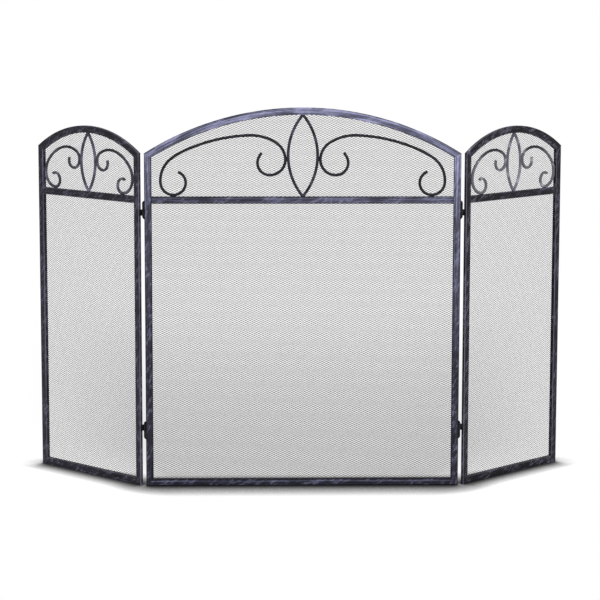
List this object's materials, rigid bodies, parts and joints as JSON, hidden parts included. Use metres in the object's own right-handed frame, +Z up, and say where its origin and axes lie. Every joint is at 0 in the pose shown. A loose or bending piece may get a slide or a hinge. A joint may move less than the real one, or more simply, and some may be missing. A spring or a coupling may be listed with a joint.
{
  "type": "fireplace screen",
  "caption": "Folding fireplace screen: arched steel bar panels with wrought scroll and lens ornament, fine diamond mesh, and wings that fold back on pin hinges.",
  "frame": {"origin": "on the floor, at the middle of the underside of the centre panel's bottom rail", "axes": "+X to the right seen from the room, +Y back towards the fire, +Z up"},
  "size_m": [1.0528, 0.2194, 0.7389],
  "materials": {
    "centre_frame": "black enamel dry-brushed with pewter",
    "wing_frame": "black enamel lightly dry-brushed with pewter",
    "wrought_rod": "satin black enamel",
    "spark_mesh": "black coated expanded steel",
    "mesh_strip": "satin black",
    "screw": "black zinc",
    "hinge": "satin black enamel"
  },
  "bodies": {
    "centre_panel": {"centre_arch_mesh_strip": "mesh_strip", "centre_arch_rail": "centre_frame", "centre_bottom_mesh_strip": "mesh_strip", "centre_bottom_rail": "centre_frame", "centre_left_lens_rod": "wrought_rod", "centre_left_mesh_strip": "mesh_strip", "centre_left_scroll": "wrought_rod", "centre_left_stile": "centre_frame", "centre_mesh": "spark_mesh", "centre_mesh_screws": "screw", "centre_middle_mesh_strip": "mesh_strip", "centre_middle_rail": "centre_frame", "centre_right_lens_rod": "wrought_rod", "centre_right_mesh_strip": "mesh_strip", "centre_right_scroll": "wrought_rod", "centre_right_stile": "centre_frame", "left_lower_hinge_staple": "hinge", "left_upper_hinge_staple": "hinge", "right_lower_hinge_staple": "hinge", "right_upper_hinge_staple": "hinge"},
    "left_wing": {"left_lower_hinge_eye": "hinge", "left_upper_hinge_eye": "hinge", "left_wing_arch_mesh_strip": "mesh_strip", "left_wing_arch_rail": "wing_frame", "left_wing_bottom_mesh_strip": "mesh_strip", "left_wing_bottom_rail": "wing_frame", "left_wing_left_lens_rod": "wrought_rod", "left_wing_left_mesh_strip": "mesh_strip", "left_wing_left_scroll": "wrought_rod", "left_wing_left_stile": "wing_frame", "left_wing_mesh": "spark_mesh", "left_wing_mesh_screws": "screw", "left_wing_middle_mesh_strip": "mesh_strip", "left_wing_middle_rail": "wing_frame", "left_wing_right_lens_rod": "wrought_rod", "left_wing_right_mesh_strip": "mesh_strip", "left_wing_right_scroll": "wrought_rod", "left_wing_right_stile": "wing_frame"},
    "right_wing": {"right_lower_hinge_eye": "hinge", "right_upper_hinge_eye": "hinge", "right_wing_arch_mesh_strip": "mesh_strip", "right_wing_arch_rail": "wing_frame", "right_wing_bottom_mesh_strip": "mesh_strip", "right_wing_bottom_rail": "wing_frame", "right_wing_left_lens_rod": "wrought_rod", "right_wing_left_mesh_strip": "mesh_strip", "right_wing_left_scroll": "wrought_rod", "right_wing_left_stile": "wing_frame", "right_wing_mesh": "spark_mesh", "right_wing_mesh_screws": "screw", "right_wing_middle_mesh_strip": "mesh_strip", "right_wing_middle_rail": "wing_frame", "right_wing_right_lens_rod": "wrought_rod", "right_wing_right_mesh_strip": "mesh_strip", "right_wing_right_scroll": "wrought_rod", "right_wing_right_stile": "wing_frame"}
  },
  "joints": [
    {"name": "left_wing_fold", "type": "hinge", "parent": "centre_panel", "child": "left_wing", "pos_m": [-0.3075, 0.00647, 0.3], "axis": [0, 0, -1], "range_deg": [-45, 135]},
    {"name": "right_wing_fold", "type": "hinge", "parent": "centre_panel", "child": "right_wing", "pos_m": [0.3075, 0.00647, 0.3], "axis": [0, 0, 1], "range_deg": [-45, 135]}
  ]
}
